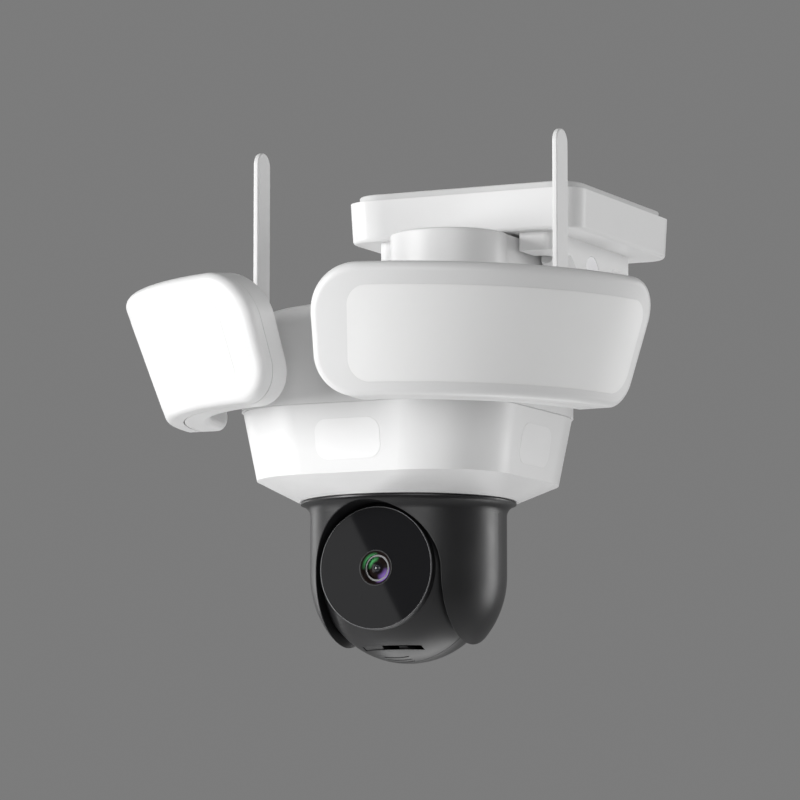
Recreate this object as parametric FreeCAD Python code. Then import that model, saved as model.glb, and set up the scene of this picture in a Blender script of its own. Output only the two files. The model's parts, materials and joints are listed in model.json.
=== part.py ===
import FreeCAD, Part
import math
import os

# Floodlight security camera for a junction box: a square mounting cover with a hinge, a hollow neck,
# a round-to-square body with three motion windows, a black pan and tilt camera underneath, two curved
# light heads and two folding antennas.  Millimetres, +Z up, the camera looks along -Y.
# Origin: centre of the cover's top mounting face.

V = FreeCAD.Vector
X_AXIS = V(1, 0, 0)
Y_AXIS = V(0, 1, 0)
Z_AXIS = V(0, 0, 1)

# ---- driving dimensions ----------------------------------------------------------------------------
PAN_Y = -112.6            # the body, the yoke and the light heads share this vertical axis
WALL = 3.0                # wall of the moulded housings
RUN = 0.05                # radial running clearance of a shaft in its bore

COVER_HALF = 59.7         # mounting cover, half side at the top
COVER_CORNER = 12.0
COVER_TOP = -3.5          # the gasket stands between here and the mounting face at zero
COVER_BOTTOM = -22.5
COVER_DRAFT = 0.9
COVER_WALL = 5.0
COVER_FLOOR = 2.5
GASKET_INSET = 2.9
GASKET_WIDTH = 1.9
SCREW_X = 30.6            # the four screws that hold the saddle and the cover to the bracket
SCREW_Y = 31.6
BOX_SLOT_SPACING = 88.9   # device screws of a four-inch junction box
BOX_SLOT_RADIUS = 2.5
BOX_SLOT_LENGTH = 12.0
BRACKET_THICK = 2.0

HINGE_Y = -5.0            # hinge between the cover and the neck
HINGE_Z = -36.0
KNUCKLE_RADIUS = 12.4
KNUCKLE_HALF = 26.4
CHEEK_IN = 28.2
CHEEK_OUT = 44.1
CHEEK_BOTTOM = -31.0
BOLT_RADIUS = 3.5
HEAD_RECESS_RADIUS = 8.0   # the hinge bolt's flat head lies flush in this recess

NECK_RADIUS = 27.2
NECK_Y = -68.9
NECK_TOP = -24.2
NECK_HALF = 25.6
NECK_WALL = 2.5

DRUM_RADIUS = 66.2
DRUM_TOP = -68.5
DRUM_EDGE = 1.5           # rounding of the drum's top edge
SEAM = -112.9
BAND_HALF = 65.4          # the upright band just above the seam
BAND_CORNER = 38.0
BAND_TOP = -107.7
SKIRT_HALF = 64.8         # lower housing at the seam
SKIRT_CORNER = 37.8
FOOT_HALF = 59.9          # lower housing where the chamfer starts
FOOT_CORNER = 36.5
FOOT_Z = -143.2
RING_RADIUS = 49.0
RING_Z = -151.6
MOUTH_RADIUS = 45.0

WINDOW_WIDTH = 31.5
WINDOW_HEIGHT = 18.0
WINDOW_CORNER = 6.0
WINDOW_Z = -128.6

CHASSIS_TOP = -128.0
CHASSIS_THICK = 3.0
HUB_RADIUS = 12.0
POST = 38.0               # posts of the chassis stand at plus and minus this, both ways
BOARD_THICK = 1.6
BOARD_BOTTOM = -100.0      # control board
BOARD_TOP = BOARD_BOTTOM + BOARD_THICK
SUPPLY_BOTTOM = -91.0      # power supply board, on four posts above the control board
SUPPLY_TOP = SUPPLY_BOTTOM + BOARD_THICK
SUPPLY_HALF_X = 27.0
SUPPLY_HALF_Y = 22.0
SUPPLY_POST_INSET = 3.5
SUPPLY_Y = PAN_Y + 8.0     # set back to leave room for the siren in front of it
SIREN_Y = PAN_Y - 29.0
SIREN_RADIUS = 14.0
SIREN_TOP = -79.0

TILT_Z = -183.3
YOKE_RADIUS = 44.1
YOKE_WALL = 2.2
SLOT_EDGE = 0.35          # chamfer along the outer edge of the yoke's opening
YOKE_DROP = 1.2           # the round end of the yoke is centred this far below the tilt axis
YOKE_TOP = TILT_Z + 43.5
FLARE_RADIUS = 48.4
FLARE_TOP = RING_Z - 0.6
SLOT_HALF = 30.6
ARCH_CENTRE = TILT_Z - 1.35
BACK_EDGE = TILT_Z - 20.0
COVER_PLATE = 1.5         # inner covers of the yoke's two cheeks

BALL_RADIUS = 40.5
BALL_HALF = 29.7
BALL_WALL = 2.2
BALL_SPLIT = 4.0          # the two shells of the ball meet this far in front of the tilt axis
BALL_LIP = 1.5            # the rear shell's lip reaches this far into the front shell
SNOUT_RADIUS = 27.4
SNOUT_FRONT = 34.0        # front of the camera face, ahead of the tilt axis
GLASS_RADIUS = 26.9
LENS_RADIUS = 8.0
BARREL_BORE = 5.9
SHAFT_RADIUS = 4.0
CARD_SLOT_HALF = 14.4
CARD_SLOT_WIDTH = 1.8
CARD_SLOT_DROP = 34.5     # level slot across the ball's lower front, this far below the tilt axis

PAN_TEETH = 60
PAN_PINION_TEETH = 12
PAN_MODULE = 1.0
TILT_TEETH = 44
TILT_PINION_TEETH = 18
TILT_MODULE = 0.5
PAN_GEAR_Z = YOKE_TOP + 0.2
PAN_GEAR_THICK = 3.5
PAN_PINION_Z = YOKE_TOP + 0.6  # the pinion runs clear of the yoke's top
PAN_PINION_THICK = 3.4
MOTOR_SHAFT_RADIUS = 1.5
PAN_CENTRES = (PAN_TEETH + PAN_PINION_TEETH) * PAN_MODULE / 2
TILT_CENTRES = (TILT_TEETH + TILT_PINION_TEETH) * TILT_MODULE / 2
TILT_GEAR_X = 32.9
TILT_GEAR_THICK = 1.9
TILT_MOTOR_X = TILT_GEAR_X + TILT_GEAR_THICK + 0.5
TILT_MOTOR_LENGTH = 5.6
TILT_MOTOR_SHAFT = 1.0

HEAD_START = 6.4          # azimuths of a light head's two ends, from straight ahead
HEAD_END = 88.0
HEAD_MIDDLE = (HEAD_START + HEAD_END) / 2
HEAD_TOP = -60.9
HEAD_RISE = 0.12          # the top of a head rises this much per millimetre towards its back
HEAD_BOTTOM = -115.8
HEAD_TOP_RADIUS = 128.5   # radius of the front face at the head's top and bottom
HEAD_BOTTOM_RADIUS = 108.45
HEAD_DEPTH = 20.7
HEAD_LEAN = 3.8           # the heads are this much wider at the bottom, in degrees at each end
HEAD_WALL = 2.5
HEAD_SPLIT = 7.3          # the bezel is this deep, then a groove, then the rear housing
HEAD_GROOVE = 0.6
FRONT_ROUND = 3.6
BACK_ROUND = 3.5
SWIVEL_RADIUS = 76.0      # distance of the swivel pin and of the tilt pin from the pan axis
TILT_PIN_RADIUS = 89.0
ARM_Z = -85.6
LIGHT_SEAT = 68.0         # flat seat on the drum for a light head's bracket, from the pan axis
LIGHT_SEAT_RADIUS = 10.5
BRACKET_PLATE = 1.9
BRACKET_ARM = 3.0
SWIVEL_PIN_RADIUS = 2.4
TILT_PIN_SHAFT = 2.2
LIGHTS_TURN = -1.9        # the pair of light heads and their brackets sit turned this far on the body

ANTENNA_X = 74.7
ANTENNA_Z = -75.3
ANTENNA_TIP = 12.9
ANTENNA_HALF = 6.2
ANTENNA_THICK = 2.5


# ---- helpers ---------------------------------------------------------------------------------------
def box(x0, x1, y0, y1, z0, z1):
    return Part.makeBox(x1 - x0, y1 - y0, z1 - z0, V(x0, y0, z0))


def rod(radius, start, direction, length):
    return Part.makeCylinder(radius, length, start, direction)


def tube(outer, inner, start, direction, length):
    return rod(outer, start, direction, length).cut(rod(inner, start, direction, length))


def fuse(shapes):
    first = shapes[0]
    return first.multiFuse(shapes[1:]).removeSplitter() if len(shapes) > 1 else first


def mirrored(shape):
    return shape.mirror(V(0, 0, 0), X_AXIS)


def both_sides(shape):
    return [shape, mirrored(shape)]


def save(node, shapes):
    """Writes one node; a list becomes a group of separate solids."""
    shape = Part.makeCompound(shapes) if isinstance(shapes, list) else shapes
    for solid in shape.Solids:
        if not solid.isValid():
            raise RuntimeError(node + " has an invalid solid")
    if not shape.Solids:
        raise RuntimeError(node + " is empty")
    shape.exportStep("parts/" + node + ".step")


def rounded_wire(half_x, half_y, corner, centre_y, z):
    """A rounded rectangle in a level plane, starting on its right side."""
    sx = half_x - corner
    sy = half_y - corner
    edges = []
    corners = [(sx, sy, 0), (-sx, sy, 90), (-sx, -sy, 180), (sx, -sy, 270)]
    for cx, cy, start in corners:
        centre = V(cx, centre_y + cy, z)
        arc = Part.Arc(Part.Circle(centre, Z_AXIS, corner), math.radians(start), math.radians(start + 90))
        edges.append(arc.toShape())
    wire_edges = []
    for index, arc in enumerate(edges):
        following = edges[(index + 1) % 4]
        wire_edges.append(arc)
        wire_edges.append(Part.makeLine(arc.lastVertex().Point, following.firstVertex().Point))
    return Part.Wire(wire_edges)


def rounded_prism(half_x, half_y, corner, centre_y, z0, z1):
    face = Part.Face(rounded_wire(half_x, half_y, corner, centre_y, z0))
    return face.extrude(V(0, 0, z1 - z0))


def stack(levels, centre_y):
    """Solid through rounded squares given as (half side, corner radius, height), in straight runs."""
    wires = [rounded_wire(half, half, corner, centre_y, z) for half, corner, z in levels]
    return Part.makeLoft(wires, True, True)


def side_profile(points, x0, x1):
    """Extrudes a closed outline given as (y, z) from x0 to x1."""
    corners = [V(x0, y, z) for y, z in points]
    return Part.Face(Part.makePolygon(corners + corners[:1])).extrude(V(x1 - x0, 0, 0))


def gear(teeth, module, thickness, bore, phase):
    """A spur gear about +Z standing on z = 0; phase turns it, in degrees."""
    pitch = teeth * module / 2
    outer = pitch + 0.85 * module
    root = pitch - 1.15 * module
    step = 360.0 / teeth
    points = []
    for tooth in range(teeth):
        middle = phase + tooth * step
        for radius, part_of_step in ((root, -0.30), (outer, -0.11), (outer, 0.11), (root, 0.30)):
            angle = math.radians(middle + part_of_step * step)
            points.append(V(radius * math.cos(angle), radius * math.sin(angle), 0))
    body = Part.Face(Part.makePolygon(points + points[:1])).extrude(V(0, 0, thickness))
    return body.cut(rod(bore, V(0, 0, -1), Z_AXIS, thickness + 2))


def along_x(shape, start):
    """Turns a shape standing on +Z so that it lies along +X, and moves it to start."""
    shape.rotate(V(0, 0, 0), Y_AXIS, 90)
    shape.translate(start)
    return shape


def screw(radius, head_radius, head_height, length):
    """A pan-head screw about +Z: the head's underside is at z = 0, the shank points up."""
    head = rod(head_radius, V(0, 0, -head_height), Z_AXIS, head_height)
    rim = [edge for edge in head.Edges if abs(edge.BoundBox.ZMax + head_height) < 1e-6
           and edge.BoundBox.XLength > head_radius]
    head = head.makeFillet(head_height * 0.45, rim)
    recess = rod(head_radius * 0.45, V(0, 0, -head_height), Z_AXIS, head_height * 0.5)
    return head.cut(recess).fuse(rod(radius, V(0, 0, 0), Z_AXIS, length)).removeSplitter()


# ---- mount -----------------------------------------------------------------------------------------
def cover_levels(inset, bottom, top):
    return [(COVER_HALF - COVER_DRAFT - inset, COVER_CORNER - inset, bottom),
            (COVER_HALF - inset, COVER_CORNER - inset, top)]


def screw_places():
    return [V(sx * SCREW_X, sy * SCREW_Y, 0) for sx in (-1, 1) for sy in (-1, 1)]


def mount_cover():
    body = stack(cover_levels(0, COVER_BOTTOM, COVER_TOP), 0)
    lower_rim = [edge for edge in body.Edges if edge.BoundBox.ZMax < COVER_BOTTOM + 1e-6]
    body = body.makeFillet(1.8, lower_rim)
    cavity = stack(cover_levels(COVER_WALL, COVER_BOTTOM + COVER_FLOOR, COVER_TOP + 1), 0)
    body = body.cut(cavity)
    for place in screw_places():
        body = body.cut(rod(2.2, place + V(0, 0, COVER_BOTTOM - 1), Z_AXIS, COVER_FLOOR + 2))
    wire_hole = rod(7.0, V(0, HINGE_Y, COVER_BOTTOM - 1), Z_AXIS, COVER_FLOOR + 2)
    return body.cut(wire_hole)


def mount_gasket():
    outer_half = COVER_HALF - GASKET_INSET
    inner_half = outer_half - GASKET_WIDTH
    corner = COVER_CORNER + 1.0
    outer = rounded_prism(outer_half, outer_half, corner, 0, COVER_TOP, 0)
    top_rim = [edge for edge in outer.Edges if edge.BoundBox.ZMin > -0.01]
    outer = outer.makeFillet(0.8, top_rim)
    inner = rounded_prism(inner_half, inner_half, corner - GASKET_WIDTH, 0, COVER_TOP, 0)
    return outer.cut(inner)


def mount_bracket():
    """Steel plate on the junction box with two slots and four threaded posts for the cover screws."""
    plate = rounded_prism(53.0, 38.0, 5.0, 0, -BRACKET_THICK, 0)
    plate = plate.cut(rod(19.0, V(0, 0, -BRACKET_THICK), Z_AXIS, BRACKET_THICK))
    straight = BOX_SLOT_LENGTH / 2 - BOX_SLOT_RADIUS
    for side in (-1, 1):
        middle = side * BOX_SLOT_SPACING / 2
        for end in (-1, 1):
            place = V(middle + end * straight, 0, -BRACKET_THICK)
            plate = plate.cut(rod(BOX_SLOT_RADIUS, place, Z_AXIS, BRACKET_THICK))
        plate = plate.cut(box(middle - straight, middle + straight, -BOX_SLOT_RADIUS, BOX_SLOT_RADIUS,
                              -BRACKET_THICK, 0))
    floor = COVER_BOTTOM + COVER_FLOOR
    posts = [rod(3.6, place + V(0, 0, floor), Z_AXIS, -BRACKET_THICK - floor) for place in screw_places()]
    body = fuse([plate] + posts)
    for place in screw_places():
        body = body.cut(rod(2.05, place + V(0, 0, floor), Z_AXIS, 12.0))
    return body


def hinge_saddle():
    """Two cheeks under the cover, joined behind the knuckle; each cheek widens to an ear at the bolt."""
    pad = box(CHEEK_IN, CHEEK_OUT, -53.0, 42.0, CHEEK_BOTTOM, COVER_BOTTOM)
    upright = [edge for edge in pad.Edges if edge.BoundBox.ZLength > 5 and edge.BoundBox.XMax > CHEEK_IN + 1]
    pad = pad.makeFillet(4.0, upright)
    ear = rod(KNUCKLE_RADIUS, V(CHEEK_IN, HINGE_Y, HINGE_Z), X_AXIS, CHEEK_OUT - CHEEK_IN)
    web = side_profile([(-30, CHEEK_BOTTOM), (HINGE_Y - 9, HINGE_Z - 8.5), (HINGE_Y + 9, HINGE_Z - 8.5),
                        (20, CHEEK_BOTTOM), (20, COVER_BOTTOM), (-30, COVER_BOTTOM)], CHEEK_IN, CHEEK_OUT)
    ear = ear.common(box(0, 60, -60, 60, -60, COVER_BOTTOM))
    cheek = fuse([pad, web, ear])
    recess = rod(HEAD_RECESS_RADIUS, V(CHEEK_OUT - 2.0, HINGE_Y, HINGE_Z), X_AXIS, 3)
    cheek = cheek.cut(recess)
    bridge = box(-CHEEK_IN, CHEEK_IN, 12.0, 42.0, -30.0, COVER_BOTTOM)
    body = fuse(both_sides(cheek) + [bridge])
    for place in screw_places():
        body = body.cut(rod(2.2, place + V(0, 0, -40), Z_AXIS, 20))
        body = body.cut(rod(4.4, place + V(0, 0, -45), Z_AXIS, 45 + CHEEK_BOTTOM + 3.5))
    bore = rod(BOLT_RADIUS, V(-50, HINGE_Y, HINGE_Z), X_AXIS, 100)
    return body.cut(bore)


def cover_screws():
    screws = []
    for place in screw_places():
        one = screw(2.0, 3.9, 2.6, 17.0)
        one.translate(place + V(0, 0, CHEEK_BOTTOM + 3.5))
        screws.append(one)
    return screws


def hinge_bolt():
    start = V(-CHEEK_OUT - 3.5, HINGE_Y, HINGE_Z)
    shank = rod(BOLT_RADIUS, start, X_AXIS, 2 * CHEEK_OUT + 2.0)
    head = rod(HEAD_RECESS_RADIUS - 0.1, V(CHEEK_OUT - 2.0, HINGE_Y, HINGE_Z), X_AXIS, 1.95)
    return fuse([shank, head])


def hinge_nut():
    corners = []
    for corner in range(7):
        angle = math.radians(60 * corner)
        corners.append(V(-CHEEK_OUT + 2.0, HINGE_Y + 6.4 * math.cos(angle), HINGE_Z + 6.4 * math.sin(angle)))
    body = Part.Face(Part.makePolygon(corners)).extrude(V(-4.8, 0, 0))
    return body.cut(rod(BOLT_RADIUS, V(-CHEEK_OUT - 10, HINGE_Y, HINGE_Z), X_AXIS, 20))


def friction_washers():
    one = tube(9.0, BOLT_RADIUS, V(KNUCKLE_HALF + 0.05, HINGE_Y, HINGE_Z), X_AXIS,
               CHEEK_IN - KNUCKLE_HALF - 0.05)
    return both_sides(one)


# ---- neck and body ---------------------------------------------------------------------------------
def neck_outer(inset):
    column = rod(NECK_RADIUS - inset, V(0, NECK_Y, DRUM_TOP), Z_AXIS, NECK_TOP - DRUM_TOP - inset)
    rim = [edge for edge in column.Edges
           if edge.BoundBox.ZMin > NECK_TOP - inset - 0.01 and edge.BoundBox.XLength > 10]
    column = column.makeFillet(1.2, rim)
    half = NECK_HALF - inset
    beam = side_profile([(NECK_Y, DRUM_TOP), (NECK_Y, NECK_TOP - inset), (HINGE_Y, NECK_TOP - inset),
                         (HINGE_Y, HINGE_Z - KNUCKLE_RADIUS + inset), (NECK_Y + 25 - inset, DRUM_TOP)],
                        -half, half)
    return fuse([column, beam])


def neck_shell():
    knuckle = rod(KNUCKLE_RADIUS, V(-KNUCKLE_HALF, HINGE_Y, HINGE_Z), X_AXIS, 2 * KNUCKLE_HALF)
    body = fuse([neck_outer(0), knuckle])
    passage = neck_outer(NECK_WALL).cut(box(-60, 60, HINGE_Y - 14, 60, -80, 0))
    body = body.cut(passage)
    wire_way = box(-5, 5, HINGE_Y - 16, HINGE_Y - 5.5, HINGE_Z - 3, HINGE_Z + 6)
    wire_exit = rod(5.0, V(0, HINGE_Y - 7, HINGE_Z), Z_AXIS, 20)
    body = body.cut(wire_way).cut(wire_exit)
    return body.cut(rod(BOLT_RADIUS + RUN, V(-40, HINGE_Y, HINGE_Z), X_AXIS, 80))


def upper_outer(inset):
    """Rounded square at the seam, growing into a round drum with a softened top edge."""
    round_from = DRUM_TOP - DRUM_EDGE
    levels = [(BAND_HALF, BAND_CORNER, SEAM + 0.2), (BAND_HALF, BAND_CORNER, BAND_TOP),
              (65.6, 47.0, -98.0), (65.9, 57.0, -85.0), (DRUM_RADIUS, DRUM_RADIUS - 0.2, round_from)]
    shifted = [(half - inset, corner - inset, z) for half, corner, z in levels]
    body = stack(shifted, PAN_Y)
    cap = Part.makeCylinder(DRUM_RADIUS - inset, DRUM_EDGE, V(0, PAN_Y, round_from), Z_AXIS)
    rim = [edge for edge in cap.Edges if edge.BoundBox.ZMin > DRUM_TOP - 0.1 and edge.BoundBox.XLength > 10]
    cap = cap.makeFillet(DRUM_EDGE - 0.1, rim)
    return body.fuse(cap)


def light_boss():
    """Pad through the drum's wall that carries a light head's bracket, at azimuth 90 degrees."""
    return rod(LIGHT_SEAT_RADIUS + 0.5, V(60.0, 0, ARM_Z), X_AXIS, LIGHT_SEAT - 60.0)


def light_seat():
    """Space in front of the pad, which leaves a flat seat in the drum's rounded corner."""
    return rod(LIGHT_SEAT_RADIUS, V(LIGHT_SEAT, 0, ARM_Z), X_AXIS, 10.0)


def lights_turned(shape):
    shape.rotate(V(0, PAN_Y, 0), Z_AXIS, LIGHTS_TURN)
    return shape


def at_head(shape):
    """Moves a shape made at azimuth 90 degrees about the origin to the right light head."""
    shape.rotate(V(0, 0, 0), Z_AXIS, HEAD_MIDDLE - 90)
    shape.translate(V(0, PAN_Y, 0))
    return shape


def antenna_boss():
    start = V(DRUM_RADIUS - 4, PAN_Y, ANTENNA_Z)
    return rod(5.6, start, X_AXIS, ANTENNA_X - ANTENNA_THICK / 2 - 0.3 - start.x)


def upper_housing():
    shell = upper_outer(0)
    body = fuse([shell] + both_sides(antenna_boss()))
    hollow = upper_outer(WALL)
    hollow.translate(V(0, 0, -WALL))
    body = body.cut(hollow)
    body = fuse([body] + [lights_turned(boss) for boss in both_sides(at_head(light_boss()))])
    for seat in both_sides(at_head(light_seat())):
        body = body.cut(lights_turned(seat))
    wire_hole = rod(12.0, V(0, PAN_Y + 42, DRUM_TOP - 10), Z_AXIS, 20)
    body = body.cut(wire_hole)
    posts = []
    for sx in (-1, 1):
        for sy in (-1, 1):
            foot = V(sx * POST, PAN_Y + sy * POST, BOARD_TOP)
            posts.append(rod(3.5, foot, Z_AXIS, DRUM_TOP - WALL + 0.1 - BOARD_TOP))
    body = fuse([body] + posts)
    pin_holes = both_sides(rod(2.0, V(DRUM_RADIUS - 1, PAN_Y, ANTENNA_Z), X_AXIS, 20))
    for hole in pin_holes:
        body = body.cut(hole)
    return body


def lower_outer(inset):
    ring_z = RING_Z + inset
    return stack([(SKIRT_HALF - inset, SKIRT_CORNER - inset, SEAM - 0.2),
                  (FOOT_HALF - inset, FOOT_CORNER - inset, FOOT_Z + 0.4 * inset),
                  (RING_RADIUS - 0.6 * inset, RING_RADIUS - 0.6 * inset - 0.2, ring_z)], PAN_Y)


def window_slope():
    return math.degrees(math.atan2(SKIRT_HALF - FOOT_HALF, SEAM - FOOT_Z))


def window_plate(grow, outside, inside):
    """Rounded plate on the front of the lower housing, from outside to inside of the wall's face."""
    half_width = WINDOW_WIDTH / 2 + grow
    half_height = WINDOW_HEIGHT / 2 + grow
    face = Part.Face(rounded_wire(half_width, half_height, WINDOW_CORNER + grow, 0, 0))
    plate = face.extrude(V(0, 0, outside + inside))
    plate.translate(V(0, 0, -inside))
    plate.rotate(V(0, 0, 0), X_AXIS, 90)
    plate.rotate(V(0, 0, 0), X_AXIS, window_slope())
    part_way = (WINDOW_Z - FOOT_Z) / (SEAM - FOOT_Z)
    reach = FOOT_HALF + (SKIRT_HALF - FOOT_HALF) * part_way
    plate.translate(V(0, -reach, WINDOW_Z))
    return plate


def at_three_sides(shape):
    placed = []
    for angle in (0, 90, -90):
        one = shape.copy()
        one.rotate(V(0, 0, 0), Z_AXIS, angle)
        one.translate(V(0, PAN_Y, 0))
        placed.append(one)
    return placed


def lower_housing():
    body = lower_outer(0).cut(lower_outer(WALL))
    body = body.cut(rod(MOUTH_RADIUS, V(0, PAN_Y, RING_Z - 5), Z_AXIS, 15))
    posts = []
    for sx in (-1, 1):
        for sy in (-1, 1):
            foot = V(sx * POST, PAN_Y + sy * POST, RING_Z)
            posts.append(rod(4.0, foot, Z_AXIS, CHASSIS_TOP - CHASSIS_THICK - RING_Z))
    filled = lower_outer(0)
    body = fuse([body] + [post.common(filled) for post in posts])
    for post in posts:
        centre = post.BoundBox.Center
        body = body.cut(rod(1.5, V(centre.x, centre.y, CHASSIS_TOP - CHASSIS_THICK - 9), Z_AXIS, 10))
    for opening in at_three_sides(window_plate(0, 2, 8)):
        body = body.cut(opening)
    return body


def seam_seal():
    """Soft ring between the two housings, set back from the outside so a fine line shows."""
    outer, inner = [rounded_prism(SKIRT_HALF - inset, SKIRT_HALF - inset, SKIRT_CORNER - inset, PAN_Y,
                                  SEAM - 0.2, SEAM + 0.2) for inset in (0.25, 2.6)]
    return outer.cut(inner)


def pir_windows():
    plate = window_plate(-0.02, 0.1, WALL + 0.2)
    flange = window_plate(1.6, -WALL - 0.2, WALL + 1.2)
    return at_three_sides(plate.fuse(flange).removeSplitter())


def pir_sensors():
    """A round sensor can behind each window, on a board whose ears stand on the chassis plate."""
    board = box(-9, 9, -46.0, -44.6, WINDOW_Z - 8, WINDOW_Z + 8)
    ears = box(-15, 15, -46.0, -44.6, CHASSIS_TOP, CHASSIS_TOP + 3)
    can = rod(4.6, V(0, -46.0, WINDOW_Z), V(0, -1, 0), 4.2)
    return at_three_sides(fuse([board, ears, can]))


def chassis_plate():
    """Inner plate on the four posts; it carries the pan motor, the sensors and the bearing."""
    bottom = CHASSIS_TOP - CHASSIS_THICK
    body = rounded_prism(50.0, 50.0, 24.0, PAN_Y, bottom, CHASSIS_TOP)
    for shift in (V(0, -50, 0), V(50, 0, 0), V(-50, 0, 0)):
        notch = rod(12.5, V(shift.x, PAN_Y + shift.y, bottom - 1), Z_AXIS, CHASSIS_THICK + 2)
        body = body.cut(notch)
    body = body.cut(rod(HUB_RADIUS + 2.5, V(0, PAN_Y, bottom), Z_AXIS, CHASSIS_THICK))
    body = body.cut(rod(2.5, V(0, PAN_Y + PAN_CENTRES, bottom), Z_AXIS, CHASSIS_THICK))
    for sx in (-1, 1):
        for sy in (-1, 1):
            body = body.cut(rod(1.6, V(sx * POST, PAN_Y + sy * POST, bottom), Z_AXIS, CHASSIS_THICK))
    return body


def chassis_screws():
    screws = []
    for sx in (-1, 1):
        for sy in (-1, 1):
            one = screw(1.5, 2.9, 1.8, CHASSIS_THICK + 6)
            one.rotate(V(0, 0, 0), X_AXIS, 180)
            one.translate(V(sx * POST, PAN_Y + sy * POST, CHASSIS_TOP))
            screws.append(one)
    return screws


def pan_bush():
    """Flanged bush in the chassis; the yoke's hub turns in it and its collar rests on the flange."""
    bottom = CHASSIS_TOP - CHASSIS_THICK
    sleeve = rod(HUB_RADIUS + 2.5, V(0, PAN_Y, bottom), Z_AXIS, CHASSIS_THICK)
    flange = rod(HUB_RADIUS + 5.0, V(0, PAN_Y, CHASSIS_TOP), Z_AXIS, 1.5)
    bore = rod(HUB_RADIUS + RUN, V(0, PAN_Y, bottom), Z_AXIS, CHASSIS_THICK + 2)
    return fuse([sleeve, flange]).cut(bore)


def pan_motor():
    place = V(0, PAN_Y + PAN_CENTRES, CHASSIS_TOP)
    can = rod(12.0, place, Z_AXIS, 18.0)
    ears = box(-17, 17, place.y - 3.5, place.y + 3.5, CHASSIS_TOP, CHASSIS_TOP + 1.0)
    return fuse([can, ears]).cut(rod(MOTOR_SHAFT_RADIUS + RUN, place, Z_AXIS, 8.0))


def pan_pinion():
    """Pinion and its shaft, which reaches up into the motor."""
    body = gear(PAN_PINION_TEETH, PAN_MODULE, PAN_PINION_THICK, MOTOR_SHAFT_RADIUS, 270.0)
    body = fuse([body, rod(MOTOR_SHAFT_RADIUS, V(0, 0, 0), Z_AXIS, CHASSIS_TOP - PAN_PINION_Z + 6.0)])
    body.translate(V(0, PAN_Y + PAN_CENTRES, PAN_PINION_Z))
    return body


def main_board():
    """Control board on the drum's four posts, with its larger parts on top."""
    board = rounded_prism(44.0, 44.0, 10.0, PAN_Y, BOARD_BOTTOM, BOARD_TOP)
    board = board.cut(rod(HUB_RADIUS + 1, V(0, PAN_Y, BOARD_BOTTOM - 1), Z_AXIS, 4))
    chips = []
    for x, y, width, depth, height in ((-24, 12, 14, 9, 5.0), (18, 6, 10, 12, 1.4), (-2, 28, 20, 7, 4.0)):
        chips.append(box(x - width / 2, x + width / 2, PAN_Y + y - depth / 2, PAN_Y + y + depth / 2,
                         BOARD_TOP, BOARD_TOP + height))
    return fuse([board] + chips)


def power_supply():
    """Mains converter for the lamps: transformer, two capacitors and a coil on a board with four posts."""
    board = rounded_prism(SUPPLY_HALF_X, SUPPLY_HALF_Y, 2.0, SUPPLY_Y, SUPPLY_BOTTOM, SUPPLY_TOP)
    transformer = box(-22, 0, SUPPLY_Y - 12, SUPPLY_Y + 10, SUPPLY_TOP, -74.0)
    coil = box(14, 24, SUPPLY_Y - 16, SUPPLY_Y - 5, SUPPLY_TOP, -79.0)
    capacitors = [rod(5.0, V(10, SUPPLY_Y + 10, SUPPLY_TOP), Z_AXIS, 13.0),
                  rod(4.0, V(21, SUPPLY_Y + 10, SUPPLY_TOP), Z_AXIS, 11.0)]
    post_x = SUPPLY_HALF_X - SUPPLY_POST_INSET
    post_y = SUPPLY_HALF_Y - SUPPLY_POST_INSET
    posts = []
    for sx in (-1, 1):
        for sy in (-1, 1):
            foot = V(sx * post_x, SUPPLY_Y + sy * post_y, BOARD_TOP)
            posts.append(rod(2.0, foot, Z_AXIS, SUPPLY_BOTTOM - BOARD_TOP))
    return fuse([board, transformer, coil] + capacitors + posts)


def siren():
    """Sounder standing on the control board, with its throat opening upwards."""
    body = rod(SIREN_RADIUS, V(0, SIREN_Y, BOARD_TOP), Z_AXIS, SIREN_TOP - BOARD_TOP)
    throat = Part.makeCone(5.0, 10.0, 6.0, V(0, SIREN_Y, SIREN_TOP - 6.0), Z_AXIS)
    return body.cut(throat)


# ---- pan: yoke -------------------------------------------------------------------------------------
def yoke_round(radius):
    """Upright cylinder with a half ball below the tilt axis."""
    centre = V(0, PAN_Y, TILT_Z - YOKE_DROP)
    column = rod(radius, centre, Z_AXIS, YOKE_TOP - centre.z)
    ball = Part.makeSphere(radius, centre)
    ball = ball.common(box(-60, 60, PAN_Y - 60, PAN_Y + 60, centre.z - 60, centre.z + 5))
    return fuse([column, ball])


def yoke_flare():
    """Collar with a hollow curve from the yoke's side out to the ring of the lower housing."""
    depth = 5.6
    reach = FLARE_RADIUS - YOKE_RADIUS
    inner = YOKE_RADIUS - 1
    outline = [Part.makeLine(V(inner, 0, FLARE_TOP), V(FLARE_RADIUS, 0, FLARE_TOP)),
               Part.makeLine(V(FLARE_RADIUS, 0, FLARE_TOP), V(FLARE_RADIUS, 0, FLARE_TOP - 0.6)),
               Part.Arc(V(FLARE_RADIUS, 0, FLARE_TOP - 0.6),
                        V(YOKE_RADIUS + reach * 0.32, 0, FLARE_TOP - 0.6 - (depth - 0.6) * 0.34),
                        V(YOKE_RADIUS, 0, FLARE_TOP - depth)).toShape(),
               Part.makeLine(V(YOKE_RADIUS, 0, FLARE_TOP - depth), V(inner, 0, FLARE_TOP - depth)),
               Part.makeLine(V(inner, 0, FLARE_TOP - depth), V(inner, 0, FLARE_TOP))]
    collar = Part.Face(Part.Wire(outline)).revolve(V(0, 0, 0), Z_AXIS, 360)
    collar.translate(V(0, PAN_Y, 0))
    return collar


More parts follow.
